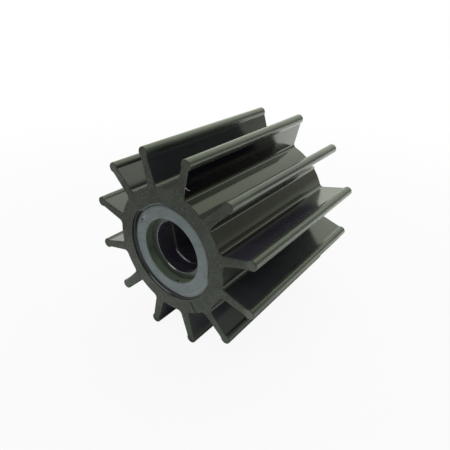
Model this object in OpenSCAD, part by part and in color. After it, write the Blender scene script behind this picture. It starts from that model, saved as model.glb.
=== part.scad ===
// Flexible pump impeller: a moulded rubber body with radial vanes on a hard drive insert.
// The shaft axis lies along Y, the photographed end faces -Y, and the impeller lies on
// two neighbouring vane tips. The origin is on the shaft axis, half way along the width.

/* [Overall] */
// Diameter over the vane tips
tip_d = 95; // [85:0.5:110]
// Width of the impeller along the shaft
width = 88; // [60:0.5:110]
// Number of vanes
vane_count = 12; // [8:2:14]

/* [Hub] */
// Thickness of rubber between the insert and the valleys
hub_wall = 7.5; // [5:0.1:10]
// Width of the step in the rubber round each end of the insert
rim_step = 0.3; // [0.2:0.1:1.5]
// Depth of that step below the end face
rim_depth = 0.9; // [0.4:0.1:1.4]

/* [Vanes] */
// Thickness of a vane where it leaves the hub, fillets not counted
root_t = 4.7; // [3.5:0.1:6]
// Thickness of a vane just below its bead
neck_t = 3.6; // [2.5:0.1:4.4]
// Diameter of the round bead along each tip
bead_d = 4.8; // [4.5:0.1:7]
// Radius of the fillets between a vane and the valleys
root_fillet = 2; // [0.8:0.1:3]

/* [Insert] */
// Outer diameter of the insert
insert_d = 45.8; // [40:0.1:52]
// Depth of the insert's faces below the rubber end faces
insert_recess = 1.35; // [1.2:0.05:4]
// Chamfer round the outer edge of each insert face
face_chamfer = 1.9; // [0.3:0.1:2.5]
// Diameter of the counterbore in each insert face
counterbore_d = 31.2; // [29:0.1:34]
// Depth of the counterbore
counterbore_depth = 4.35; // [2:0.05:8]
// Chamfer at the mouth of the counterbore
counterbore_chamfer = 0.3; // [0.2:0.1:1]

/* [Shaft drive] */
// Diameter of the round guide bore behind each counterbore
bore_d = 25.4; // [24.6:0.1:27]
// Length of each guide bore
bore_len = 8.3; // [4:0.1:14]
// Chamfer at the mouth of each guide bore
bore_chamfer = 0.4; // [0.3:0.1:0.8]
// Diameter of the drive section in the middle of the insert
drive_d = 24; // [22:0.1:24.5]
// Height of the flat that drives the shaft, measured in from the drive diameter
flat_depth = 2.4; // [1:0.1:4]
// Direction of the flat round the shaft, from +X towards +Z
flat_angle = 190; // [0:1:359]
// Chamfer where the drive section opens into a guide bore
drive_chamfer = 0.3; // [0.1:0.05:0.5]

/* [Hidden] */
$fn = 96;

half_width = width / 2;
vane_step = 360 / vane_count;
first_vane = vane_step / 2;
hub_r = insert_d / 2 + hub_wall;
bead_centre = tip_d / 2 - bead_d / 2;
neck_r = bead_centre - bead_d / 4;
rim_d = insert_d + 2 * rim_step;
// How far cutters and joined shapes run past the surface they meet
overrun = 1;

// Side of a vane: a point on the hub circle, and the unit vectors along it and out of it
side_start = [hub_r, root_t / 2];
side_run = [neck_r - hub_r, (neck_t - root_t) / 2];
side_along = side_run / norm(side_run);
side_out = [-side_along.y, side_along.x];

// Centre of the root fillet, which touches both the side of the vane and the hub circle
fillet_base = side_start + side_out * root_fillet;
fillet_shift = -fillet_base * side_along
    + sqrt(pow(fillet_base * side_along, 2) - fillet_base * fillet_base + pow(hub_r + root_fillet, 2));
fillet_centre = fillet_base + side_along * fillet_shift;
fillet_on_vane = fillet_centre - side_out * root_fillet;
fillet_on_hub = fillet_centre * hub_r / (hub_r + root_fillet);

// Heights along the shaft, from the middle of the width
face_z = half_width - insert_recess;
shoulder_z = face_z - counterbore_depth;
ledge_z = shoulder_z - bore_len;

// Distance from the axis to the flat, and the drive chamfer as far as the ledge leaves room for it
flat_reach = drive_d / 2 - flat_depth;
drive_ease = min(drive_chamfer, 0.45 * (bore_d - drive_d) / 2);

// Turns a shape whose axis is Z so that its axis is Y and its top faces -Y
module along_shaft() {
    rotate([90, 0, 0]) children();
}

// The fillet at one root: a patch from the vane to the hub with the fillet circle cut away
module root_fillet_patch() {
    difference() {
        polygon([[hub_r - overrun, 0], fillet_on_vane, fillet_centre, fillet_on_hub]);
        translate(fillet_centre) circle(r = root_fillet);
    }
}

// Section of one vane pointing along X: tapered leaf, bead and both root fillets
module vane_section() {
    polygon([
        [hub_r - overrun, -root_t / 2],
        [hub_r, -root_t / 2],
        [neck_r, -neck_t / 2],
        [neck_r, neck_t / 2],
        [hub_r, root_t / 2],
        [hub_r - overrun, root_t / 2]
    ]);
    translate([bead_centre, 0]) circle(d = bead_d);
    root_fillet_patch();
    mirror([0, 1]) root_fillet_patch();
}

// Hub and vanes as seen along the shaft
module body_section() {
    circle(r = hub_r);
    for (i = [0 : vane_count - 1])
        rotate(first_vane + i * vane_step) vane_section();
}

// The moulded rubber: hub and vanes in one piece, open in the middle for the insert
module rubber_body() {
    color([0.20, 0.21, 0.20])
    along_shaft()
    difference() {
        linear_extrude(width, center = true) body_section();
        cylinder(d = insert_d, h = width + 2 * overrun, center = true);
        for (end = [0, 1])
            mirror([0, 0, end])
            translate([0, 0, half_width - rim_depth])
            cylinder(d = rim_d, h = rim_depth + overrun);
    }
}

// The outside of the insert, with both face edges chamfered
module insert_blank() {
    rotate_extrude()
    polygon([
        [0, -face_z],
        [insert_d / 2 - face_chamfer, -face_z],
        [insert_d / 2, -face_z + face_chamfer],
        [insert_d / 2, face_z - face_chamfer],
        [insert_d / 2 - face_chamfer, face_z],
        [0, face_z]
    ]);
}

// What is turned out of one end: counterbore, shoulder and round guide bore
module end_cut() {
    rotate_extrude()
    polygon([
        [0, ledge_z],
        [bore_d / 2, ledge_z],
        [bore_d / 2, shoulder_z - bore_chamfer],
        [bore_d / 2 + bore_chamfer, shoulder_z],
        [counterbore_d / 2, shoulder_z],
        [counterbore_d / 2, face_z - counterbore_chamfer],
        [counterbore_d / 2 + counterbore_chamfer, face_z],
        [counterbore_d / 2 + counterbore_chamfer, face_z + overrun],
        [0, face_z + overrun]
    ]);
}

// The drive section: a round hole with one flat
module drive_cut() {
    linear_extrude(2 * ledge_z + 2 * overrun, center = true)
    rotate(flat_angle)
    difference() {
        circle(d = drive_d);
        translate([flat_reach, -drive_d / 2]) square([drive_d, drive_d]);
    }
}

// The chamfer round the drive section at one end, along the circle and along the flat
module drive_mouth_cut() {
    translate([0, 0, ledge_z - drive_ease])
    rotate(flat_angle)
    difference() {
        cylinder(h = 2 * drive_ease, r1 = drive_d / 2, r2 = drive_d / 2 + 2 * drive_ease);
        translate([flat_reach, 0, 0])
        rotate([0, 45, 0])
        translate([0, -drive_d, -drive_d])
        cube([drive_d, 2 * drive_d, 2 * drive_d]);
    }
}

// The hard insert that the rubber is moulded on to and that the shaft turns
module drive_insert() {
    color([0.42, 0.45, 0.46])
    along_shaft()
    difference() {
        insert_blank();
        for (end = [0, 1])
            mirror([0, 0, end]) {
                end_cut();
                drive_mouth_cut();
            }
        drive_cut();
    }
}

rubber_body();
drive_insert();
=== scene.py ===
import math

import bmesh
import bpy
from mathutils import Matrix, Vector, noise


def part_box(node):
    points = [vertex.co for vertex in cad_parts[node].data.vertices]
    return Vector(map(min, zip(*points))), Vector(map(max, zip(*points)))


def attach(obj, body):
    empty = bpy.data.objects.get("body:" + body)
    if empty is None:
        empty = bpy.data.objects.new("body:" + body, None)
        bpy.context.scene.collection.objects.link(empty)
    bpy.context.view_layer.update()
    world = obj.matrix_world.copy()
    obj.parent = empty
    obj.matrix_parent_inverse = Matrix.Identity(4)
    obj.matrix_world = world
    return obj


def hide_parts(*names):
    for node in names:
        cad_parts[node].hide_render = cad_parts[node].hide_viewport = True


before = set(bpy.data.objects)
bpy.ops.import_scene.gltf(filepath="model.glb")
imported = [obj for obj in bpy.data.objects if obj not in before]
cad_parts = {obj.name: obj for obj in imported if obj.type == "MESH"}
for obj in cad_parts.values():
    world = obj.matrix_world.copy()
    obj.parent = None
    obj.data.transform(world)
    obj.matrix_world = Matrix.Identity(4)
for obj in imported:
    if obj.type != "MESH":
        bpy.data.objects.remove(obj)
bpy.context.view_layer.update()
print("Frame loaded:", ", ".join(sorted(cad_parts)))

shaftAxis = (0, 1, 0)
weldDistance = 1e-6  # points closer than this are one point
roundSlack = 1e-5  # and a point this near to a circle lies on it
cornerAngle = 60  # an edge is a corner where its faces turn by more, in degrees
shadingAngle = 40  # and its shading breaks where they turn by more than this
shadingWeight = 90  # how far large faces rule the shading beside them
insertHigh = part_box("drive_insert")[1]
bodyLow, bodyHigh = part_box("rubber_body")


# Shared modelling helpers

def pointAt(radius, degrees, depth):  # a place by its direction, from +X towards +Z
    turn = math.radians(degrees)
    return Vector((radius * math.cos(turn), depth, radius * math.sin(turn)))


def degreesOf(offset):  # direction of an offset, from +X towards +Z
    return math.degrees(math.atan2(offset.z, offset.x))


def onlyOf(kind, geometry):  # the points, edges or faces that an operator made
    return [item for item in geometry if isinstance(item, kind)]


def startAt(bm, place):  # a first point to draw from
    return bmesh.ops.create_vert(bm, co=place)["vert"][0]


def drawArc(bm, vert, centre, degrees, steps):  # runs a point round a circle, edges behind it
    done = bmesh.ops.spin(
        bm, geom=[vert], cent=centre, axis=shaftAxis, angle=math.radians(-degrees),
        steps=steps, use_duplicate=False)
    return onlyOf(bmesh.types.BMVert, done["geom_last"])[0]


def drawLine(bm, vert, target):  # runs a point to a target, an edge behind it
    done = bmesh.ops.extrude_vert_indiv(bm, verts=[vert])
    done["verts"][0].co = target
    return done["verts"][0]


def growAlong(bm, edges, distance):  # pulls a wall from edges, along the shaft
    done = bmesh.ops.extrude_edge_only(bm, edges=edges)
    fresh = onlyOf(bmesh.types.BMEdge, done["geom"])
    verts = onlyOf(bmesh.types.BMVert, done["geom"])
    bmesh.ops.translate(bm, verts=verts, vec=(0, distance, 0))
    moved = set(verts)
    return [edge for edge in fresh if edge.verts[0] in moved and edge.verts[1] in moved]


def roundOff(bm, geometry, size, segments, affect="EDGES"):  # rounds edges, or points of an outline
    bmesh.ops.bevel(
        bm, geom=geometry, offset=size, offset_type="OFFSET", segments=segments, profile=0.5,
        affect=affect, clamp_overlap=True, material=-1)


def weldAll(bm):
    bmesh.ops.remove_doubles(bm, verts=bm.verts, dist=weldDistance)


def mirrorAcrossMiddle(bm):  # the back end is the front end again
    bmesh.ops.mirror(
        bm, geom=bm.verts[:] + bm.edges[:] + bm.faces[:], matrix=Matrix.Identity(4),
        merge_dist=weldDistance, axis="Y")
    weldAll(bm)
    bmesh.ops.recalc_face_normals(bm, faces=bm.faces)


def isRound(edge, radius):  # both ends on a circle round the shaft
    return all(abs(math.hypot(vert.co.x, vert.co.z) - radius) < roundSlack for vert in edge.verts)


def atDepth(edge, depth):  # both ends this far from the middle
    return all(abs(abs(vert.co.y) - depth) < weldDistance for vert in edge.verts)


def isCorner(edge, degrees=cornerAngle):  # the surface turns by more than this
    return len(edge.link_faces) == 2 and edge.calc_face_angle(0) > math.radians(degrees)


def addObject(name, data):
    added = bpy.data.objects.new(name, data)
    bpy.context.scene.collection.objects.link(added)
    return added


def addMesh(bm, name, material):
    mesh = bpy.data.meshes.new(name)
    bm.to_mesh(mesh)
    bm.free()
    mesh.materials.append(material)
    return addObject(name, mesh)


def finishPiece(bm, name, material):
    bmesh.ops.recalc_face_normals(bm, faces=bm.faces)
    piece = addMesh(bm, name, material)
    piece.data.shade_smooth()
    piece.data.set_sharp_from_angle(angle=math.radians(shadingAngle))
    even = piece.modifiers.new("evenShading", "WEIGHTED_NORMAL")
    even.keep_sharp = True
    even.weight = shadingWeight
    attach(piece, "root")
    print("Made", name, "with", len(piece.data.polygons), "faces")
    return piece


# Shader maths

bumpDistance = 0.0001


class Wire:  # a shader socket that can stand in a sum
    def __init__(self, bench, socket):
        self.bench = bench
        self.socket = socket

    def math(self, operation, first, second):
        return self.bench.node("ShaderNodeMath", {"operation": operation}, {0: first, 1: second})

    def __add__(self, other):
        return self.math("ADD", self, other)

    def __radd__(self, other):
        return self.math("ADD", other, self)

    def __sub__(self, other):
        return self.math("SUBTRACT", self, other)

    def __rsub__(self, other):
        return self.math("SUBTRACT", other, self)

    def __mul__(self, other):
        return self.math("MULTIPLY", self, other)

    def __rmul__(self, other):
        return self.math("MULTIPLY", other, self)

    def __truediv__(self, other):
        return self.math("DIVIDE", self, other)

    def __rtruediv__(self, other):
        return self.math("DIVIDE", other, self)

    def __pow__(self, other):
        return self.math("POWER", self, other)

    def __rpow__(self, other):
        return self.math("POWER", other, self)

    def __abs__(self):
        return self.math("ABSOLUTE", self, 0)


class Bench:  # one material or world being wired up
    def __init__(self, owner):
        owner.use_nodes = True
        self.tree = owner.node_tree
        self.tree.nodes.clear()

    def node(self, kind, settings=None, inputs=None, output=0):
        made = self.tree.nodes.new(kind)
        for name, value in (settings or {}).items():
            setattr(made, name, value)
        for name, value in (inputs or {}).items():
            if isinstance(value, Wire):
                self.tree.links.new(value.socket, made.inputs[name])
            else:
                made.inputs[name].default_value = value
        return Wire(self, made.outputs[output]) if len(made.outputs) else made

    def place(self):
        return self.node("ShaderNodeTexCoord", output="Object")

    def axes(self, place):
        split = self.node("ShaderNodeSeparateXYZ", inputs={"Vector": place}).socket.node
        return [Wire(self, socket) for socket in split.outputs]

    def locate(self):  # where each point is, also as seen along the shaft
        self.at = self.place()
        self.x, self.y, self.z = self.axes(self.at)
        self.depth = abs(self.y)
        self.radius = (self.x * self.x + self.z * self.z) ** 0.5

    def stretched(self, place, factors):  # the same place, squeezed along each axis
        return self.node("ShaderNodeVectorMath", {"operation": "MULTIPLY"}, {0: place, 1: factors})

    def clouds(self, place, size, detail=3.0, roughness=0.55):  # noise, size in metres
        return self.node(
            "ShaderNodeTexNoise", {"noise_dimensions": "3D"},
            {"Vector": place, "Scale": 1 / size, "Detail": detail, "Roughness": roughness})

    def between(self, value, low, high, first=0.0, last=1.0):  # a soft step
        return self.node(
            "ShaderNodeMapRange", {"interpolation_type": "SMOOTHSTEP"},
            {"Value": value, "From Min": low, "From Max": high, "To Min": first, "To Max": last})

    def inside(self, value, low, high, soft):  # 1 from low to high, 0 past them
        above = self.between(value, low - soft, low + soft)
        return above * self.between(value, high - soft, high + soft, 1.0, 0.0)

    def blend(self, share, first, second):  # two colours by a share
        return self.node(
            "ShaderNodeMix", {"data_type": "RGBA"},
            {"Factor": share, "A": asColour(first), "B": asColour(second)}, output="Result")

    def near(self, centre, reach, soft, ragged=0.0):  # 1 round a point, 0 past its reach
        ends = {0: self.at, 1: centre}
        gap = self.node("ShaderNodeVectorMath", {"operation": "DISTANCE"}, ends, "Value")
        return self.between(gap + ragged, reach, reach + soft, 1.0, 0.0)

    def towards(self, degrees, spread, soft):  # 1 within a spread of a direction, 0 past it
        turn = math.radians(degrees)
        facing = (self.x * math.cos(turn) + self.z * math.sin(turn)) / self.radius
        edge = math.cos(math.radians(spread + soft))
        return self.between(facing, edge, math.cos(math.radians(spread)))

    def bump(self, strength, height):
        return self.node(
            "ShaderNodeBump", None, {"Strength": strength, "Distance": bumpDistance, "Height": height})

    def rays(self):  # 1 for what the camera sees, and 1 for what is mirrored
        kinds = ("Is Camera Ray", "Is Glossy Ray")
        return [self.node("ShaderNodeLightPath", output=kind) for kind in kinds]

    def finish(self, inputs):  # the shader and the material's output
        shader = self.node("ShaderNodeBsdfPrincipled", None, inputs)
        self.node("ShaderNodeOutputMaterial", None, {"Surface": shader})


def asColour(value):
    return value if isinstance(value, Wire) else (*value, 1)


def newMaterial(name):
    material = bpy.data.materials.new(name)
    return material, Bench(material)


# Rubber body

rubberPlan = {
    "vanes": 12,
    "hubWall": 0.0075,  # rubber between the insert and the valleys
    "rootThickness": 0.0047,
    "neckThickness": 0.0036,
    "beadDiameter": 0.0048,
    "rootFillet": 0.0020,
    "neckFillet": 0.0004,  # where a vane runs into its bead
    "rimStep": 0.0005,  # step round the insert
    "rimDepth": 0.0009,
    "endRounding": 0.00050,  # moulded edge of both end faces
    "rimRounding": 0.00010,
    "grooveRounding": 0.00018,
    "valleySteps": 7,  # points along each arc of the outline
    "filletSteps": 8,
    "beadSteps": 16,
    "rimSteps": 8,
    "roundingSteps": 3,

    # colours and finish
    "skin": (0.0060, 0.0030, 0.0095),  # moulded skin, a bluish black
    "skinWorn": (0.0105, 0.0095, 0.0115),
    "skinUpDustAndLight": (0.0330, 0.0325, 0.0460),  # lighter where it faces up: a little dust and painted top light
    "valleyUpDustAndLight": (0.0150, 0.0135, 0.0085),  # browner in the valleys, with the same painted top light
    "vaneFoot": (0.0315, 0.0330),  # radii over which a valley becomes a vane
    "vaneSide": (1.8, 1.0),  # degrees round the side of a vane, and past it
    "plainVaneEnd": (19.5, 2.5, 1.5),  # plain dark skin at its far end, without wear, dust or painted top light: direction, spread, fade
    "plainEndRun": (0.005, 0.030),  # where along the shaft that sets in
    "filmVane": (71.4, 0.040, 0.054, 0.044),  # a painted greenish reflection at its far end: direction, colour
    "reflectionTintRun": (0.018, 0.026),
    "vaneLightAndDust": (  # painted light and shade, with a little dust, on the front half of some vane sides: direction, colour
        (101.4, 0.026, 0.030, 0.036),
        (71.4, 0.0040, 0.0025, 0.0070),
        (18.6, 0.044, 0.042, 0.060),
        (258.6, 0.055, 0.056, 0.070)),
    "vaneLightAndDustRun": (0.020, 0.000),
    "valleyLightTones": (  # painted light and shade in each valley, by the way it faces, with some dust: direction, colour
        (30, 0.032, 0.029, 0.024),
        (60, 0.004, 0.003, 0.002),
        (90, 0.040, 0.037, 0.034),
        (120, 0.040, 0.040, 0.034)),
    "valleySide": (10, 4),  # degrees round the middle of a valley, and past it
    "cornerShadeAndLight": (  # matt near the front, with painted shade in two pockets and painted light by one vane root: direction, spread, fade, colour
        (4, 7, 3, 0.0030, 0.0035, 0.0015),
        (336, 7, 3, 0.0030, 0.0035, 0.0015),
        (50.5, 2.5, 1.5, 0.034, 0.040, 0.032)),
    "dullRadii": (0.0325, 0.0345),  # they end over these radii
    "dullRun": (-0.022, -0.030),
    "dullRoughness": 0.65,  # added there
    "valleyDust": (90, 0.052, 0.052, 0.049),  # dust at the front of one valley: direction, colour
    "valleyDustSide": (11, 3),
    "valleyDustRun": (-0.032, -0.040),
    "lowLightAndDust": (0.0470, 0.0500, 0.0530),  # paler on the lower half: painted light from the floor, with dust where it has lain
    "lowHeights": (-0.008, 0.003),
    "lowestLightAndDust": (0.064, 0.066, 0.073),  # and more of it at the bottom
    "lowest": (278, 24, 8),  # direction, spread, fade
    "bead": (0.0590, 0.0690, 0.0520),  # the beads are rubbed dull
    "beadLightAndShade": (  # painted highlight on two beads and painted shade on one, half way along: direction, colour
        (105, 0.100, 0.110, 0.088),
        (345, 0.098, 0.114, 0.084),
        (45, 0.022, 0.026, 0.028)),
    "beadSide": (5, 3),
    "beadToneDepths": (0.034, 0.024),  # depths here are from the middle, towards both ends
    "beadFoot": (0.0433, 0.0440),  # radii over which a vane becomes a bead
    "edgeWear": (0.034, 0.036, 0.033),  # scuffs on the beads near both ends
    "wearRadii": (0.0455, 0.0466),
    "wearDepths": (0.0300, 0.0435),
    "edgeWearAndHighlight": (0.052, 0.057, 0.050),  # rubbed line along the edges of the end faces, with a painted highlight
    "lineRadii": (0.0285, 0.0295),
    "groove": (0.085, 0.080, 0.100),  # dusty wall of the groove round the insert
    "grooveDeep": (0.210, 0.200, 0.240),
    "grooveDepths": (0.0430, 0.0420),
    "grooveUpper": (130, 30, 20),  # less dust on its upper side
    "grooveGlint": (250, 9, 13, 0.340, 0.340, 0.355),  # a painted glint: direction, spread, fade, colour
    "glintDepths": (0.04302, 0.04345),
    "face": (0.0035, 0.0045, 0.0035),  # the end faces are duller and slightly green
    "faceDusty": (0.039, 0.048, 0.0370),
    "faceBrown": (0.030, 0.022, 0.0200),
    "facePale": (  # dustier spots: radius, direction, reach
        (0.0285, 90, 0.002),
        (0.0285, 30, 0.002)),
    "tipDust": (0.034, 0.042, 0.033),  # the faces of the vane tips are rubbed paler
    "tipRadii": (0.037, 0.044),
    "paleTips": (  # most on some, and at the bottom tips also painted light from the floor: direction, spread, radius, colour
        (0, 18, 0.0415, 0.080, 0.094, 0.076),
        (345, 5, 0.0415, 0.108, 0.125, 0.103),
        (135, 5, 0.0365, 0.080, 0.095, 0.076),
        (270, 20, 0.0430, 0.068, 0.082, 0.066)),
    "seam": (0.002, 0.002, 0.003),  # a short dark line on the photographed face
    "seamDirection": 300.3,
    "seamRadii": (0.0245, 0.0302),
    "sheenTint": (0.93, 1.0, 0.82, 1),
    "skinRoughness": 0.15,
    "faceRoughness": 0.50,
    "rimRoughness": 0.35,  # added round the insert, inside these radii
    "rimRadii": (0.0242, 0.0245),
    "refraction": 1.5,
    "cloudSize": 0.014,  # sizes of the patterns
    "grainSize": 0.0005,
    "streakSize": 0.0012,
    "streakStretch": (1, 0.06, 1),  # drawn out along the shaft
    "dustSize": 0.005,
    "speckSize": 0.0009,
    "brownSize": 0.0045,
    "lineSize": 0.003,
}


def bodyReach(plan):  # radius over the tips, from the node's box
    beadRadius = plan["beadDiameter"] / 2
    return (bodyHigh.x - beadRadius) / math.cos(math.pi / plan["vanes"]) + beadRadius


def drawVaneSector(bm, plan, depth):  # one vane with half a valley on each side
    half = 180 / plan["vanes"]
    valleyRadius = insertHigh.x + plan["hubWall"]
    beadRadius = plan["beadDiameter"] / 2
    middle = Vector((0, depth, 0))
    beadCentre = middle + Vector((bodyReach(plan) - beadRadius, 0, 0))
    rootEdge = middle + Vector((valleyRadius, 0, plan["rootThickness"] / 2))
    neckEdge = beadCentre + Vector((-beadRadius / 2, 0, plan["neckThickness"] / 2))
    along = (neckEdge - rootEdge).normalized()
    out = Vector((-along.z, 0, along.x))

    # centre of the circle that touches the valley and the side of the vane
    reach = valleyRadius + plan["rootFillet"]
    fromAxis = rootEdge + out * plan["rootFillet"] - middle
    ahead = fromAxis.dot(along)
    slide = -ahead + math.sqrt(ahead ** 2 - fromAxis.length_squared + reach ** 2)
    fromAxis = fromAxis + along * slide
    filletCentre = middle + fromAxis
    onValley = middle + fromAxis * (valleyRadius / reach)
    onVane = filletCentre - out * plan["rootFillet"]

    # where the side of the vane runs into the bead
    fromBead = rootEdge - beadCentre
    ahead = fromBead.dot(along)
    slide = -ahead - math.sqrt(ahead ** 2 - fromBead.length_squared + beadRadius ** 2)
    neck = rootEdge + along * slide

    start = startAt(bm, pointAt(valleyRadius, half, depth))
    vert = drawArc(bm, start, middle, degreesOf(onValley - middle) - half, plan["valleySteps"])
    filletTurn = (degreesOf(onVane - filletCentre) - degreesOf(onValley - filletCentre)) % 360
    vert = drawArc(bm, vert, filletCentre, filletTurn, plan["filletSteps"])
    neckVert = drawLine(bm, vert, neck)
    drawArc(bm, neckVert, beadCentre, -degreesOf(neck - beadCentre), plan["beadSteps"])
    roundOff(bm, [neckVert], plan["neckFillet"], plan["roundingSteps"], "VERTICES")
    bmesh.ops.mirror(
        bm, geom=bm.verts[:] + bm.edges[:], matrix=Matrix.Identity(4),
        merge_dist=weldDistance, axis="Z")


def buildRubberBody(plan, material):
    bm = bmesh.new()
    front = -bodyHigh.y
    half = 180 / plan["vanes"]
    rimRadius = insertHigh.x + plan["rimStep"]
    drawVaneSector(bm, plan, front)
    ends = [vert for vert in bm.verts if len(vert.link_edges) == 1]
    top = max(ends, key=lambda vert: vert.co.z)
    low = min(ends, key=lambda vert: vert.co.z)
    inner = drawLine(bm, top, pointAt(rimRadius, half, front))
    inner = drawArc(bm, inner, (0, front, 0), -2 * half, plan["rimSteps"])
    bmesh.ops.contextual_create(bm, geom=[inner, low])
    bmesh.ops.contextual_create(bm, geom=bm.edges[:])

    # repeated round the shaft, the sector makes the whole end face
    bmesh.ops.rotate(
        bm, verts=bm.verts, cent=(0, 0, 0), matrix=Matrix.Rotation(math.radians(-half), 3, "Y"))
    bmesh.ops.spin(
        bm, geom=bm.verts[:] + bm.edges[:] + bm.faces[:], cent=(0, 0, 0), axis=shaftAxis,
        angle=math.radians(-2 * half * (plan["vanes"] - 1)), steps=plan["vanes"] - 1,
        use_duplicate=True)
    weldAll(bm)

    rim = [edge for edge in bm.edges if edge.is_boundary and isRound(edge, rimRadius)]
    outline = [edge for edge in bm.edges if edge.is_boundary and edge not in rim]
    growAlong(bm, outline, bodyHigh.y)
    bore = growAlong(bm, rim, plan["rimDepth"])
    bore = growAlong(bm, bore, 0)
    bmesh.ops.scale(
        bm, vec=(insertHigh.x / rimRadius, 1, insertHigh.x / rimRadius),
        verts=list({vert for edge in bore for vert in edge.verts}))
    growAlong(bm, bore, bodyHigh.y - plan["rimDepth"])
    mirrorAcrossMiddle(bm)

    endEdges = [edge for edge in bm.edges if atDepth(edge, bodyHigh.y) and isCorner(edge)]
    outerEdges = [edge for edge in endEdges if not isRound(edge, rimRadius)]
    roundOff(bm, outerEdges, plan["endRounding"], plan["roundingSteps"])
    rimEdges = [edge for edge in bm.edges if isCorner(edge) and isRound(edge, rimRadius)]
    roundOff(bm, rimEdges, plan["rimRounding"], plan["roundingSteps"])
    grooveEdges = [edge for edge in bm.edges if isCorner(edge) and isRound(edge, insertHigh.x)]
    roundOff(bm, grooveEdges, plan["grooveRounding"], plan["roundingSteps"])
    return finishPiece(bm, "rubberBody", material)


def mouldedSkin(bench, plan, marks):  # faint streaks, clouds of wear, dust and painted top light where it faces up
    worn = bench.between(marks["slow"] * 0.6 + marks["streaks"] * 0.4, 0.42, 0.68)
    skin = bench.blend(worn, plan["skin"], plan["skinWorn"])
    turn = bench.node("ShaderNodeMath", {"operation": "ARCTAN2"}, {0: bench.z, 1: bench.x})
    wave = (turn - math.pi / plan["vanes"]) * plan["vanes"]
    side = bench.node("ShaderNodeMath", {"operation": "SINE"}, {0: wave})
    side = bench.between(side, -0.1, 0.1, -1.0, 1.0)
    onVane = marks["onVane"]
    upward = (side * bench.x * onVane + bench.z * (1 - onVane)) / bench.radius
    # painted top light, with a little dust, where the surface faces up
    upwardSkin = bench.blend(onVane, plan["valleyUpDustAndLight"], plan["skinUpDustAndLight"])
    return bench.blend(bench.between(upward, -0.30, 0.95), skin, upwardSkin)


def markVanes(bench, plan, marks, skin):  # sides: one left plain at its far end, one with a painted reflection tint, and painted light and shade with a little dust
    onVane = marks["onVane"]
    # painted shade: plain skin at one far end, where the painted top light is left off
    plainEnd = bench.towards(*plan["plainVaneEnd"]) * bench.between(bench.y, *plan["plainEndRun"]) * onVane
    skin = bench.blend(plainEnd, skin, plan["skin"])
    # painted reflection: a greenish tone where a far end catches the background
    direction, *colour = plan["filmVane"]
    film = bench.towards(direction, *plan["vaneSide"]) * bench.between(bench.y, *plan["reflectionTintRun"])
    skin = bench.blend(film * onVane, skin, colour)
    # painted light and shade, with a little dust, on some vane sides
    for direction, *colour in plan["vaneLightAndDust"]:
        litAndDusted = bench.towards(direction, *plan["vaneSide"]) * onVane
        litAndDusted = litAndDusted * bench.between(bench.y, *plan["vaneLightAndDustRun"], 0.0, 0.9)
        skin = bench.blend(litAndDusted, skin, colour)
    return skin, plainEnd


def markValleys(bench, plan, marks, skin):  # painted light and shade in each, matt corners with painted shade and light, and dust
    inValley = 1 - marks["onVane"]
    # painted light and shade in each valley, with some dust
    for direction, *colour in plan["valleyLightTones"]:
        skin = bench.blend(bench.towards(direction, *plan["valleySide"]) * inValley, skin, colour)
    atFront = bench.between(bench.radius, *plan["dullRadii"], 1.0, 0.0)
    atFront = atFront * bench.between(bench.y + (marks["slow"] - 0.5) * 0.01, *plan["dullRun"])
    dull = 0
    # painted shade in two pockets, painted light by one vane root
    for direction, spread, fade, *colour in plan["cornerShadeAndLight"]:
        corner = bench.towards(direction, spread, fade) * atFront
        skin = bench.blend(corner, skin, colour)
        dull = dull + corner
    direction, *colour = plan["valleyDust"]
    dust = bench.towards(direction, *plan["valleyDustSide"]) * inValley
    dust = dust * bench.between(bench.y, *plan["valleyDustRun"])
    dust = dust * bench.between(marks["grain"] * 0.5 + marks["slow"] * 0.5, 0.36, 0.54)
    return bench.blend(dust, skin, colour), dull


def lightAndDustLowerHalf(bench, plan, marks, skin):  # painted floor light and dust, apart from the last of the vane sides given painted light
    lower = bench.between(bench.z + (marks["slow"] - 0.5) * 0.02, *plan["lowHeights"], 0.7, 0.0)
    # paler below: painted floor light and dust
    dust = bench.blend(bench.towards(*plan["lowest"]), plan["lowLightAndDust"], plan["lowestLightAndDust"])
    spared = bench.towards(plan["vaneLightAndDust"][-1][0], *plan["vaneSide"]) * marks["onVane"]
    return bench.blend(lower * (1 - spared), skin, dust)


def wearBeads(bench, plan, marks, skin):  # rubbed all along, scuffed near both ends, with painted light and shade half way along
    slow = marks["slow"]
    bead = bench.between(bench.radius, *plan["beadFoot"])
    bead = bead * bench.between(slow * 0.5 + marks["streaks"] * 0.5, 0.34, 0.58, 0.55, 1.0)
    colour = plan["bead"]
    # painted highlight on two beads and painted shade on one
    for direction, *tone in plan["beadLightAndShade"]:
        halfWay = bench.towards(direction, *plan["beadSide"])
        halfWay = halfWay * bench.between(bench.depth, *plan["beadToneDepths"])
        colour = bench.blend(halfWay, colour, tone)
    skin = bench.blend(bead, skin, colour)
    scuffs = bench.between(bench.radius, *plan["wearRadii"])
    scuffs = scuffs * bench.between(bench.depth, *plan["wearDepths"])
    scuffs = scuffs * bench.between(marks["grain"] * 0.6 + slow * 0.4, 0.50, 0.62)
    return bench.blend(scuffs, skin, plan["edgeWear"]), bead, scuffs


def rubAndHighlightEdges(bench, plan, skin):  # a broken pale line along the rounded edges: wear and a painted highlight
    highlightLine = bench.between(bench.depth, bodyHigh.y - 0.00048, bodyHigh.y - 0.00030)
    broken = bench.between(bench.clouds(bench.at, plan["lineSize"], 3.0, 0.6), 0.36, 0.56, 0.25, 1.0)
    highlightLine = highlightLine * broken * bench.between(bench.radius, *plan["lineRadii"])
    return bench.blend(highlightLine, skin, plan["edgeWearAndHighlight"])


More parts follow.
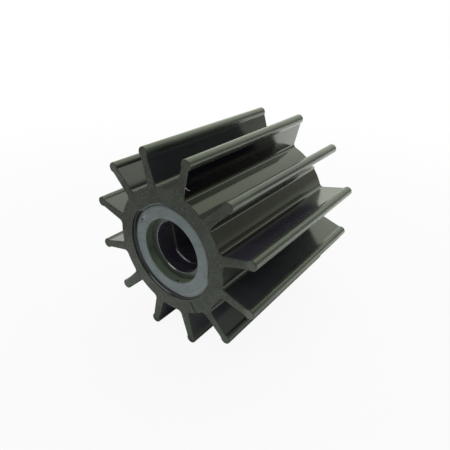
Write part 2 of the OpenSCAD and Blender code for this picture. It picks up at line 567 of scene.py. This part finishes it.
def dustAndGlintGroove(bench, plan, marks, skin):  # the wall round the insert, and a painted glint
    rim = insertHigh.x
    wall = bench.between(bench.radius, rim + 0.00006, rim + 0.00012, 1.0, 0.0)
    deep = bench.between(bench.depth, *plan["grooveDepths"])
    dust = bench.blend(deep, plan["groove"], plan["grooveDeep"])
    spared = bench.towards(*plan["grooveUpper"]) * 0.45
    skin = bench.blend(wall * (bench.between(marks["slow"], 0.3, 0.7, 0.7, 1.0) - spared), skin, dust)
    # painted glint on the groove
    direction, spread, fade, *colour = plan["grooveGlint"]
    glint = bench.towards(direction, spread, fade)
    glint = glint * bench.inside(bench.depth, *plan["glintDepths"], 0.00005)
    glint = glint * bench.between(bench.radius, rim + 0.0007, rim + 0.0008, 1.0, 0.0)
    return bench.blend(glint, skin, colour)


def endFaceRubber(bench, plan):  # dusty and brownish patches, pale tips, a seam line
    front = bench.between(bench.y, 0.0, 0.001, 1.0, 0.0)
    dust = bench.clouds(bench.at, plan["dustSize"], 5.0, 0.65)
    specks = bench.clouds(bench.at, plan["speckSize"], 3.0, 0.6)
    brown = bench.between(bench.clouds(bench.at, plan["brownSize"], 4.0, 0.65), 0.48, 0.66)
    dusty = bench.between(dust * 0.4 + specks * 0.6, 0.46, 0.59)
    face = bench.blend(dusty, plan["face"], plan["faceDusty"])
    face = bench.blend(brown * 0.4, face, plan["faceBrown"])
    for radius, direction, reach in plan["facePale"]:
        spot = bench.near(pointAt(radius, direction, -bodyHigh.y), reach, 0.004, (dust - 0.5) * 0.006)
        face = bench.blend(spot * 0.5, face, plan["faceDusty"])
    tips = bench.between(bench.radius, *plan["tipRadii"])
    tips = tips * bench.between(dust * 0.5 + specks * 0.5, 0.34, 0.58, 0.2, 1.0)
    face = bench.blend(tips, face, plan["tipDust"])
    # the pale bottom tips are partly painted floor light
    for direction, spread, radius, *colour in plan["paleTips"]:
        tip = bench.towards(direction, spread, 6) * bench.between(bench.radius, radius, radius + 0.003)
        tip = tip * front * bench.between(dust * 0.4 + specks * 0.6, 0.38, 0.60, 0.45, 1.0)
        face = bench.blend(tip, face, colour)
    turn = math.radians(plan["seamDirection"])
    across = abs(bench.x * math.sin(turn) - bench.z * math.cos(turn))
    seam = bench.between(across, 0.00030, 0.00090, 1.0, 0.0) * front
    seam = seam * bench.inside(bench.radius, *plan["seamRadii"], 0.0003)
    seam = seam * bench.between(bench.x, 0.0, 0.001)
    return bench.blend(seam * 0.8, face, plan["seam"]), seam


def rubberMaterial(plan):
    material, bench = newMaterial("mouldedRubber")
    bench.locate()
    marks = {
        "slow": bench.clouds(bench.at, plan["cloudSize"], 3.0, 0.55),
        "grain": bench.clouds(bench.at, plan["grainSize"], 2.0, 0.6),
        "streaks": bench.clouds(
            bench.stretched(bench.at, plan["streakStretch"]), plan["streakSize"], 3.0, 0.6),
        "onVane": bench.between(bench.radius, *plan["vaneFoot"]),
    }
    skin = mouldedSkin(bench, plan, marks)
    skin, plainEnd = markVanes(bench, plan, marks, skin)
    skin, dull = markValleys(bench, plan, marks, skin)
    skin = lightAndDustLowerHalf(bench, plan, marks, skin)
    skin, bead, scuffs = wearBeads(bench, plan, marks, skin)
    skin = rubAndHighlightEdges(bench, plan, skin)
    skin = dustAndGlintGroove(bench, plan, marks, skin)
    face, seam = endFaceRubber(bench, plan)
    onFace = bench.between(bench.depth, bodyHigh.y - 0.00012, bodyHigh.y - 0.00003)
    onSkin = 1 - onFace
    rimDull = bench.between(bench.radius, *plan["rimRadii"], plan["rimRoughness"], 0.0)
    roughness = plan["skinRoughness"] + onFace * (plan["faceRoughness"] - plan["skinRoughness"])
    roughness = roughness + (marks["slow"] - 0.5) * 0.12 + scuffs * 0.10 + seam * 0.3
    added = rimDull + bead * 0.12 + dull * plan["dullRoughness"]
    roughness = roughness + added * onSkin + plainEnd * 0.08
    height = marks["grain"] * (0.25 + onFace * 0.75) + marks["streaks"] * onSkin * 0.5 - seam * 2
    bench.finish({
        "Base Color": bench.blend(onFace, skin, face),
        "Roughness": roughness,
        "IOR": plan["refraction"],
        "Specular Tint": plan["sheenTint"],
        "Normal": bench.bump(0.2, height),
    })
    return material


rubberBody = buildRubberBody(rubberPlan, rubberMaterial(rubberPlan))
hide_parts("rubber_body")


# Drive insert

insertPlan = {
    "faceRounding": 0.0019,  # round the outer edge of each face
    "tighterDirection": 316,  # the rounding is tighter on one side
    "tighterShare": 0.84,  # by this share of its size
    "tighterStart": 0.76,  # cosine of the gap in direction where that starts, and is full
    "tighterFull": 0.94,
    "counterboreRadius": 0.0156,
    "counterboreDepth": 0.00435,
    "counterboreChamfer": 0.0003,
    "boreRadius": 0.0127,  # round guide bore behind each counterbore
    "boreLength": 0.0083,
    "boreChamfer": 0.0004,
    "driveRadius": 0.0120,  # drive section in the middle
    "flatDistance": 0.0096,  # from the shaft axis to the flat that drives the shaft
    "flatDirection": 190,
    "driveMouth": 0.0003,  # chamfer where the drive section opens into the bore
    "edgeRounding": 0.00012,
    "chamferAngle": 30,  # the insert's corners turn by more than this, its chamfers' too
    "steps": 128,  # points round the shaft
    "faceSteps": 10,  # across the face's rounding
    "edgeSteps": 2,
    "bridgeRun": 0.006,  # the drive's outline is joined this much deeper, then brought level

    # colours and finish
    "face": (0.198, 0.238, 0.236),  # scuffed pale by the pump's end plates
    "faceDull": (0.142, 0.173, 0.168),
    "faceBlue": (0.178, 0.208, 0.246),
    "scuff": (0.340, 0.380, 0.350),  # a paler patch round the pits
    "scuffPlace": (0.0204, 142),  # radius, direction
    "pit": (0.035, 0.040, 0.036),
    "pits": (  # radius, direction, size
        (0.0202, 148.0, 0.00078),
        (0.0206, 142.0, 0.00048),
        (0.0196, 152.5, 0.00056),
        (0.0209, 136.5, 0.00034),
        (0.0194, 146.0, 0.00034)),
    "edge": (0.178, 0.212, 0.212),  # its rounded edge is rubbed too
    "edgeDark": (0.050, 0.056, 0.060),  # darker towards the rubber
    "edgePaintedLight": (  # painted light where it faces the lower right and by the flash: direction, spread, fade, colour
        (308, 24, 22, 0.225, 0.258, 0.252),
        (113, 20, 9, 0.150, 0.178, 0.178)),
    "wall": (0.118, 0.152, 0.098),  # counterbore, an olive skin
    "wallDark": (0.088, 0.112, 0.082),
    "wallLowSide": (0.205, 0.250, 0.180),  # paler on its lower side
    "wallLowHeights": (-0.004, -0.013),
    "stain": (0.012, 0.010, 0.006),  # a drop on that wall
    "stainPlace": (278.6, 0.0013, 0.0008),  # direction, depth, size
    "shoulder": (0.062, 0.074, 0.064),
    "cornerShade": (0.020, 0.025, 0.018),  # painted shade in the corner between them
    "bore": (0.050, 0.042, 0.066),
    "boreWorn": (0.062, 0.058, 0.068),
    "mouth": (0.360, 0.375, 0.350),  # rubbed pale where the shaft goes in, with a painted highlight line
    "bright": (0.800, 0.820, 0.780),  # painted glints at the mouths: direction, spread, fade
    "boreGlint": (251, 7, 7),
    "driveGlint": (246, 5, 22),
    "ledge": (0.016, 0.015, 0.018),  # the darker step in front of the drive section
    # a painted highlight along the drive's mouth
    "ledgeHighlight": (0.046, 0.048, 0.036),
    "faceRoughness": 0.60,
    "boreRoughness": 0.28,
    "mouthRoughness": 0.18,
    "ledgeRoughness": 0.30,  # added there
    "refraction": 1.5,
    "cloudSize": 0.007,  # sizes of the patterns
    "fineSize": 0.0011,
    "grainSize": 0.0004,
    "blueSize": 0.0026,
}


def insertDepths(plan):  # depths from the middle: face, shoulder, ledge
    shoulder = insertHigh.y - plan["counterboreDepth"]
    return insertHigh.y, shoulder, shoulder - plan["boreLength"]


def tightenFaceEdge(bm, plan):  # draws the face's rounding in on one side
    outer = insertHigh.x
    face = insertHigh.y
    band = plan["faceRounding"] + weldDistance
    for vert in bm.verts:
        radius = math.hypot(vert.co.x, vert.co.z)
        if radius > outer - band and -vert.co.y > face - band:
            facing = math.cos(math.radians(degreesOf(vert.co) - plan["tighterDirection"]))
            share = (facing - plan["tighterStart"]) / (plan["tighterFull"] - plan["tighterStart"])
            share = min(max(share, 0), 1)
            keep = 1 - plan["tighterShare"] * share * share * (3 - 2 * share)
            pull = (outer - (outer - radius) * keep) / radius
            vert.co = (vert.co.x * pull, (vert.co.y + face) * keep - face, vert.co.z * pull)


def buildInsert(plan, material):
    bm = bmesh.new()
    face, shoulder, ledge = insertDepths(plan)
    outer = insertHigh.x
    wall = plan["counterboreRadius"]
    bore = plan["boreRadius"]
    profile = [
        (outer, face),
        (wall + plan["counterboreChamfer"], face),
        (wall, face - plan["counterboreChamfer"]),
        (wall, shoulder),
        (bore + plan["boreChamfer"], shoulder),
        (bore, shoulder - plan["boreChamfer"]),
        (bore, ledge),
    ]
    vert = startAt(bm, (outer, 0, 0))
    for radius, depth in profile:
        vert = drawLine(bm, vert, (radius, -depth, 0))
    faceEdge = min(bm.verts, key=lambda vert: vert.co.y - vert.co.x)
    roundOff(bm, [faceEdge], plan["faceRounding"], plan["faceSteps"], "VERTICES")
    bmesh.ops.spin(
        bm, geom=bm.verts[:] + bm.edges[:], cent=(0, 0, 0), axis=shaftAxis, angle=math.tau,
        steps=plan["steps"], use_merge=True, use_duplicate=False)
    tightenFaceEdge(bm, plan)
    boreLoop = [edge for edge in bm.edges if atDepth(edge, ledge) and isRound(edge, bore)]

    # outline of the drive section: a circle cut off by one flat
    cutAway = math.degrees(math.acos(plan["flatDistance"] / plan["driveRadius"]))
    arcSteps = round(plan["steps"] * (1 - cutAway / 180))
    deeper = plan["bridgeRun"] - ledge
    corner = pointAt(plan["driveRadius"], plan["flatDirection"] + cutAway, deeper)
    start = startAt(bm, corner)
    end = drawArc(bm, start, (0, deeper, 0), 360 - 2 * cutAway, arcSteps)
    flat = bmesh.ops.contextual_create(bm, geom=[start, end])["edges"]
    bmesh.ops.subdivide_edges(bm, edges=flat, cuts=plan["steps"] - arcSteps - 1)
    driveLoop = [edge for edge in bm.edges if not edge.link_faces]
    bmesh.ops.bridge_loops(bm, edges=boreLoop + driveLoop)
    driveVerts = list({vert for edge in driveLoop for vert in edge.verts})
    bmesh.ops.translate(bm, verts=driveVerts, vec=(0, -plan["bridgeRun"], 0))
    growAlong(bm, driveLoop, ledge)
    mirrorAcrossMiddle(bm)

    ledgeEdges = [edge for edge in bm.edges if atDepth(edge, ledge) and isCorner(edge)]
    mouths = [edge for edge in ledgeEdges if not isRound(edge, bore)]
    roundOff(bm, mouths, plan["driveMouth"], 1)
    corners = [edge for edge in bm.edges if isCorner(edge, plan["chamferAngle"]) and edge.is_convex]
    corners = [edge for edge in corners
               if min(abs(vert.co.y) for vert in edge.verts) > ledge + weldDistance]
    roundOff(bm, corners, plan["edgeRounding"], plan["edgeSteps"])
    return finishPiece(bm, "driveInsert", material)


def insideBore(bench, plan, marks):  # bore, the darker step at its end and the drive's mouth, with a painted highlight line and glint
    depth = bench.depth
    ledge = insertDepths(plan)[2]
    mouth = ledge - plan["driveMouth"]
    # painted highlight line along the drive's mouth
    highlightLine = bench.inside(depth, mouth, ledge - 0.00003, 0.00005)
    # painted glint on the drive's mouth
    glintingMouths = bench.inside(depth, mouth, ledge + 0.00005, 0.00005) * bench.towards(*plan["driveGlint"])
    step = bench.between(depth, ledge + 0.00010, ledge + 0.00004)
    step = step * bench.between(depth, ledge - 0.00006, ledge)
    colour = bench.blend(bench.between(marks["slow"], 0.42, 0.62), plan["bore"], plan["boreWorn"])
    colour = bench.blend(step, colour, plan["ledge"])
    colour = bench.blend(highlightLine, colour, plan["ledgeHighlight"])
    shown = glintingMouths * bench.between(marks["fine"], 0.35, 0.6, 0.5, 1.0)
    return bench.blend(shown, colour, plan["bright"]), glintingMouths, highlightLine * (1 - glintingMouths) + step


def shoulderAndMouth(bench, plan, marks, colour):  # the bore's mouth is rubbed pale, with a painted highlight line and a painted glint
    depth = bench.depth
    radius = bench.radius
    bore = plan["boreRadius"]
    wall = plan["counterboreRadius"]
    shoulder = insertDepths(plan)[1]
    toWall = bench.between(radius, bore + 0.0008, wall - 0.0002)
    tone = bench.blend(toWall, plan["shoulder"], plan["wallDark"])
    onShoulder = bench.between(depth, shoulder - plan["boreChamfer"], shoulder - 0.00015)
    colour = bench.blend(onShoulder, colour, tone)
    # pale line at the bore's mouth: wear and a painted highlight
    mouth = bench.inside(depth, shoulder - 0.00040, shoulder - 0.00022, 0.00006)
    mouth = mouth * bench.between(radius, wall - 0.0010, bore + 0.0006)
    broken = bench.between(marks["fine"], 0.35, 0.6, 0.4, 1.0)
    colour = bench.blend(mouth * broken, colour, plan["mouth"])
    # painted glint at the bore's mouth
    glint = bench.inside(depth, shoulder - 0.00042, shoulder - 0.00004, 0.00004)
    glint = glint * bench.between(radius, bore + 0.0008, bore + 0.0006)
    glint = glint * bench.towards(*plan["boreGlint"])
    return bench.blend(glint, colour, plan["bright"]), mouth


def counterboreWall(bench, plan, marks, colour):  # olive, paler below, with painted shade in its corner
    face, shoulder = insertDepths(plan)[:2]
    radius = plan["counterboreRadius"]
    wall = bench.blend(bench.between(marks["slow"], 0.35, 0.65), plan["wall"], plan["wallDark"])
    # paler towards the bottom
    wall = bench.blend(bench.between(bench.z, *plan["wallLowHeights"]), wall, plan["wallLowSide"])
    direction, depth, size = plan["stainPlace"]
    stain = bench.near(pointAt(radius, direction, depth - face), size * 0.3, size)
    wall = bench.blend(stain, wall, plan["stain"])
    onWall = bench.between(bench.depth, shoulder + 0.00005, shoulder + 0.0002)
    colour = bench.blend(onWall, colour, wall)
    # painted shade in the corner between wall and shoulder
    toCorner = ((bench.radius - radius) ** 2 + (bench.depth - shoulder) ** 2) ** 0.5
    cornerShade = bench.between(toCorner + (marks["fine"] - 0.5) * 0.0003, 0.00005, 0.00075, 1.0, 0.0)
    return bench.blend(cornerShade * 0.45, colour, plan["cornerShade"]), onWall


def paleFace(bench, plan, marks, colour):  # scuffed, bluish in places, with a few pits
    face = insertHigh.y
    mouth = plan["counterboreRadius"] + plan["counterboreChamfer"]
    fine = marks["fine"]
    scuffed = bench.between(marks["slow"] * 0.45 + fine * 0.55, 0.42, 0.58)
    pale = bench.blend(scuffed, plan["faceDull"], plan["face"])
    bluish = bench.between(bench.clouds(bench.at, plan["blueSize"], 3.0, 0.6), 0.46, 0.62)
    pale = bench.blend(bluish * 0.6, pale, plan["faceBlue"])
    scuff = bench.near(pointAt(*plan["scuffPlace"], -face), 0.0008, 0.0014, (fine - 0.5) * 0.0015)
    pale = bench.blend(scuff * 0.7, pale, plan["scuff"])
    for radius, direction, size in plan["pits"]:
        ragged = (marks["grain"] - 0.5) * size * 1.6
        pit = bench.near(pointAt(radius, direction, -face), size * 0.5, size, ragged)
        pale = bench.blend(pit, pale, plan["pit"])
    onFace = bench.between(bench.radius, mouth - 0.0004, mouth - 0.0001)
    onFace = onFace * bench.between(bench.depth, face - 0.0003, face - 0.0001)
    return bench.blend(onFace, colour, pale)


def roundedEdge(bench, plan, marks, colour):  # pale near the face, darker near the rubber, with painted light in two directions
    start = insertHigh.x - plan["faceRounding"]
    ragged = bench.radius + (marks["fine"] - 0.5) * 0.0006
    outwards = bench.between(ragged, start - 0.0002, start + 0.0009)
    edge = bench.blend(outwards, plan["edge"], plan["edgeDark"])
    # painted light on the rounded edge in two directions
    for direction, spread, fade, *tone in plan["edgePaintedLight"]:
        edge = bench.blend(bench.towards(direction, spread, fade), edge, tone)
    onEdge = bench.between(bench.radius, start - 0.0004, start - 0.0001)
    return bench.blend(onEdge, colour, edge)


def insertMaterial(plan):  # painted from the middle outwards
    material, bench = newMaterial("filledComposite")
    bench.locate()
    marks = {
        "slow": bench.clouds(bench.at, plan["cloudSize"], 4.0, 0.6),
        "fine": bench.clouds(bench.at, plan["fineSize"], 4.0, 0.65),
        "grain": bench.clouds(bench.at, plan["grainSize"], 2.0, 0.6),
    }
    colour, driveGlinting, ledgeStepAndLine = insideBore(bench, plan, marks)
    colour, mouth = shoulderAndMouth(bench, plan, marks, colour)
    colour, onWall = counterboreWall(bench, plan, marks, colour)
    colour = paleFace(bench, plan, marks, colour)
    colour = roundedEdge(bench, plan, marks, colour)
    glintingMouths = bench.node("ShaderNodeMath", {"operation": "MAXIMUM"}, {0: mouth, 1: driveGlinting})
    roughness = plan["boreRoughness"] + onWall * (plan["faceRoughness"] - plan["boreRoughness"])
    roughness = roughness + (marks["slow"] - 0.5) * 0.15 + ledgeStepAndLine * plan["ledgeRoughness"]
    roughness = roughness + glintingMouths * (plan["mouthRoughness"] - plan["boreRoughness"])
    bench.finish({
        "Base Color": colour,
        "Roughness": roughness,
        "IOR": plan["refraction"],
        "Normal": bench.bump(0.25, (marks["grain"] + marks["fine"]) * 0.6),
    })
    return material


driveInsert = buildInsert(insertPlan, insertMaterial(insertPlan))
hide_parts("drive_insert")


# Flash: a thin ragged film of rubber left over the edge of the insert by the mould

flashPlan = {
    "edge": ((90, 0.02330), (96, 0.02304), (106, 0.02268), (116, 0.02232), (126, 0.02195), (132, 0.02190),
             (135, 0.02222), (139, 0.02330)),  # its free edge: direction, radius
    "outerRadius": 0.02350,  # it starts just under the rubber's face
    "outerDepth": 0.00020,  # below the end face of the rubber, there and at its free edge
    "innerDepth": 0.00034,
    "droop": 0.00036,  # width of the free edge that hangs down
    "thickness": 0.00014,
    "wander": 0.00007,  # how far its free edge wanders, and how often
    "wanderTurns": 33,
    "rows": 8,
    "rowSpan": 0.001,  # width that the rows are drawn at before they take their shape

    # colours and finish
    "rubber": (0.020, 0.025, 0.019),
    "freeEdge": (0.165, 0.185, 0.170),  # its thin edge has turned pale
    "speckSize": 0.0005,
    "roughness": 0.5,
}


def freeEdgeAt(plan, direction):  # radius of the ragged free edge in a direction
    slack = 0.01  # degrees, as the spots lie on whole ones
    before = max(spot for spot in plan["edge"] if spot[0] < direction + slack)
    after = min(spot for spot in plan["edge"] if spot[0] > direction - slack)
    along = (direction - before[0]) / max(after[0] - before[0], slack)
    wander = noise.noise(pointAt(plan["wanderTurns"], direction, 0)) * plan["wander"]
    return before[1] + (after[1] - before[1]) * along + wander


def buildFlash(plan, material):
    bm = bmesh.new()
    outer = plan["outerRadius"]
    first = plan["edge"][0][0]
    last = plan["edge"][-1][0]
    vert = startAt(bm, pointAt(outer, first, -bodyHigh.y))
    for row in range(plan["rows"]):
        radius = outer - plan["rowSpan"] * (row + 1) / plan["rows"]
        vert = drawLine(bm, vert, pointAt(radius, first, -bodyHigh.y))
    bmesh.ops.spin(
        bm, geom=bm.verts[:] + bm.edges[:], cent=(0, 0, 0), axis=shaftAxis,
        angle=math.radians(first - last), steps=last - first, use_duplicate=False)
    for vert in bm.verts:
        share = (outer - math.hypot(vert.co.x, vert.co.z)) / plan["rowSpan"]
        direction = degreesOf(vert.co)
        freeRadius = freeEdgeAt(plan, direction)
        radius = outer + (freeRadius - outer) * share
        drooped = min(max(1 - (radius - freeRadius) / plan["droop"], 0), 1)
        depth = plan["outerDepth"] + (plan["innerDepth"] - plan["outerDepth"]) * drooped
        vert.co = pointAt(radius, direction, depth - bodyHigh.y)
    bmesh.ops.recalc_face_normals(bm, faces=bm.faces)
    bmesh.ops.solidify(bm, geom=bm.faces[:], thickness=plan["thickness"])
    return finishPiece(bm, "rubberFlash", material)


def flashMaterial(plan):
    material, bench = newMaterial("thinFlash")
    place = bench.place()
    specks = bench.clouds(place, plan["speckSize"], 3.0, 0.7)
    below = bodyHigh.y - abs(bench.axes(place)[1])
    pale = bench.between(below, plan["outerDepth"] + 0.00001, plan["outerDepth"] + 0.00006)
    pale = pale * bench.between(specks, 0.32, 0.50, 0.4, 1.0)
    bench.finish({
        "Base Color": bench.blend(pale, plan["rubber"], plan["freeEdge"]),
        "Roughness": plan["roughness"],
        "Normal": bench.bump(0.3, specks),
    })
    return material


buildFlash(flashPlan, flashMaterial(flashPlan))


# Hair: a thread of flash that hangs from the front edge of one vane

hairPlan = {
    "start": (0.01075, -0.04384, 0.03400),
    "run": (0.00290, 0.00008, -0.00012),
    "sag": 0.00018,
    "thickness": 0.00028,
    "taper": 0.94,  # of each step against the one before
    "sides": 8,
    "steps": 8,

    # colours and finish
    "thread": (0.55, 0.40, 0.40),
    "threadPale": (0.80, 0.72, 0.70),
    "cloudSize": 0.0006,
    "roughness": 0.6,
}


def buildHair(plan, material):
    bm = bmesh.new()
    run = Vector(plan["run"])
    facing = run.to_track_quat("Z", "Y").to_matrix().to_4x4()
    bmesh.ops.create_circle(
        bm, cap_ends=True, segments=plan["sides"], radius=plan["thickness"] / 2,
        matrix=Matrix.Translation(plan["start"]) @ facing)
    tip = bm.faces[:]
    for step in range(plan["steps"]):
        done = bmesh.ops.extrude_face_region(bm, geom=tip)
        if step:
            bmesh.ops.delete(bm, geom=tip, context="FACES_ONLY")
        tip = onlyOf(bmesh.types.BMFace, done["geom"])
        verts = onlyOf(bmesh.types.BMVert, done["geom"])
        bend = math.cos(math.pi * (2 * step + 1) / plan["steps"]) * plan["sag"]
        bmesh.ops.translate(bm, verts=verts, vec=run / plan["steps"] + Vector((0, 0, bend)))
        middle = sum((vert.co for vert in verts), Vector()) / len(verts)
        bmesh.ops.scale(
            bm, verts=verts, vec=Vector((1, 1, 1)) * plan["taper"], space=Matrix.Translation(-middle))
    return finishPiece(bm, "mouldHair", material)


def hairMaterial(plan):
    material, bench = newMaterial("paleThread")
    tone = bench.between(bench.clouds(bench.place(), plan["cloudSize"]), 0.35, 0.65)
    bench.finish({
        "Base Color": bench.blend(tone, plan["thread"], plan["threadPale"]),
        "Roughness": plan["roughness"],
    })
    return material


buildHair(hairPlan, hairMaterial(hairPlan))


# Studio

studio = {
    "floorSize": 80.0,
    "floorGap": 0.0002,  # between the floor and the object
    "floorColour": (0.88, 0.88, 0.88),
    "floorShown": 0.92,  # share of plain white that the camera sees near the object
    "shadowReach": 0.45,  # past this distance the floor is plain white to the camera
    "skyColour": (0.94, 0.96, 1.0),
    "skyLevel": 0.55,
    "mirrorColour": (0.94, 1.0, 0.86),
    "right": (0.20, 0.62),  # the background is dimmer on the right
    "rightLevel": 0.45,
    "horizon": (0.05, 0.16),  # but only above the horizon
    "front": (-0.45, 0.10),  # it is dimmer in front too, where the camera stands
    "frontLevel": 0.60,
}


def floorMaterial(setup):
    material, bench = newMaterial("paleFloor")
    reach = bench.node("ShaderNodeVectorMath", {"operation": "LENGTH"}, {0: bench.place()}, "Value")
    away = bench.between(reach, setup["shadowReach"] * 0.3, setup["shadowReach"])
    seen, mirrored = bench.rays()
    matt = bench.node("ShaderNodeBsdfDiffuse", None, {"Color": asColour(setup["floorColour"])})
    white = bench.node("ShaderNodeEmission", None, {"Color": (1, 1, 1, 1), "Strength": 1.0})
    share = seen * (setup["floorShown"] + away * (1 - setup["floorShown"])) + mirrored * away
    both = bench.node("ShaderNodeMixShader", None, {0: share, 1: matt, 2: white})
    bench.node("ShaderNodeOutputMaterial", None, {"Surface": both})
    return material


def buildFloor(setup):
    bm = bmesh.new()
    bmesh.ops.create_grid(bm, x_segments=8, y_segments=8, size=setup["floorSize"] / 2)
    bmesh.ops.translate(bm, verts=bm.verts, vec=(0, 0, bodyLow.z - setup["floorGap"]))
    floor = addMesh(bm, "studioFloor", floorMaterial(setup))


def buildSky(setup):
    world = bpy.data.worlds.new("studioSky")
    bpy.context.scene.world = world
    bench = Bench(world)
    seen, mirrored = bench.rays()
    direction = bench.axes(bench.node("ShaderNodeTexCoord", output="Generated"))
    above = bench.between(direction[2], *setup["horizon"])
    dim = 1 - bench.between(direction[0], *setup["right"], 0.0, 1 - setup["rightLevel"]) * above
    dim = dim * bench.between(direction[1], *setup["front"], setup["frontLevel"], 1.0)
    level = (setup["skyLevel"] + mirrored * (1 - setup["skyLevel"])) * dim
    level = level + seen * (1 - level)
    colour = bench.blend(mirrored, setup["skyColour"], setup["mirrorColour"])
    colour = bench.blend(seen, colour, (1, 1, 1))
    sky = bench.node("ShaderNodeBackground", None, {"Color": colour, "Strength": level})
    bench.node("ShaderNodeOutputWorld", None, {"Surface": sky})


lamps = {  # direction, distance, width, height, brightness, colour
    "backPanel": ((-0.10, 0.70, 0.70), 1.0, 1.3, 1.3, 0.92, (0.97, 1.0, 0.91)),
    "leftPanel": ((-0.72, 0.68, 0.16), 1.0, 0.8, 0.5, 0.26, (1.0, 1.0, 0.90)),
    "frontLamp": ((-0.07, -0.63, 0.77), 0.8, 0.11, 0.11, 9.0, (0.97, 1.0, 0.98)),
}


cardLift = 0.001  # the pale cards lie this far above the floor, facing up
cards = {  # place on the floor, width, depth, brightness, colour
    "lowCard": ((0.05, 0.36), 0.9, 0.55, 1.2, (0.97, 1.0, 0.93)),
    "sideCard": ((0.20, 0.02), 0.24, 0.12, 0.7, (0.97, 1.0, 0.93)),
    "frontCard": ((0.00, -0.079), 0.17, 0.066, 0.7, (0.95, 1.0, 0.95)),
    "farCard": ((0.50, 0.46), 0.5, 0.36, 1.2, (0.93, 1.0, 0.97)),
    "rightCard": ((0.13, -0.06), 0.12, 0.12, 0.6, (0.95, 1.0, 0.95)),
}


def addPanel(name, place, facing, width, height, glow, colour):  # a soft lamp of a given brightness
    lamp = bpy.data.lights.new(name, "AREA")
    lamp.shape = "RECTANGLE"
    lamp.size = width
    lamp.size_y = height
    lamp.color = colour
    lamp.energy = glow * math.pi * width * height
    holder = addObject(name, lamp)
    turned = Vector(facing).to_track_quat("-Z", "Y").to_matrix().to_4x4()
    holder.matrix_world = Matrix.Translation(place) @ turned
    holder.visible_camera = False


buildFloor(studio)
buildSky(studio)
for name, (direction, distance, width, height, glow, colour) in lamps.items():
    away = Vector(direction).normalized()
    addPanel(name, away * distance, -away, width, height, glow, colour)
for name, ((right, back), width, height, glow, colour) in cards.items():
    addPanel(name, (right, back, bodyLow.z + cardLift), (0, 0, 1), width, height, glow, colour)
print("Studio ready")


# Camera

cameraSetup = {
    "place": (0.11352, -0.15310, 0.10060),
    "azimuth": 37.11,  # degrees round from the front, towards +X
    "elevation": 28.96,
    "roll": 0.98,
    "lens": 33.63,  # millimetres
    "sensor": 36,
    "clip": (0.01, 200),
}


def addCamera(setup):
    camera = bpy.data.cameras.new("photoCamera")
    camera.lens = setup["lens"]
    camera.sensor_width = setup["sensor"]
    camera.clip_start, camera.clip_end = setup["clip"]
    holder = addObject("photoCamera", camera)
    turn, rise, roll = (math.radians(setup[key]) for key in ("azimuth", "elevation", "roll"))
    back = Vector((
        math.sin(turn) * math.cos(rise),
        -math.cos(turn) * math.cos(rise),
        math.sin(rise)))
    level = Vector((math.cos(turn), math.sin(turn), 0))
    right = level * math.cos(roll) + back.cross(level) * math.sin(roll)
    turned = Matrix((right, back.cross(right), back)).transposed().to_4x4()
    holder.matrix_world = Matrix.Translation(setup["place"]) @ turned
    bpy.context.scene.camera = holder


addCamera(cameraSetup)
bpy.context.scene.view_settings.view_transform = "Standard"
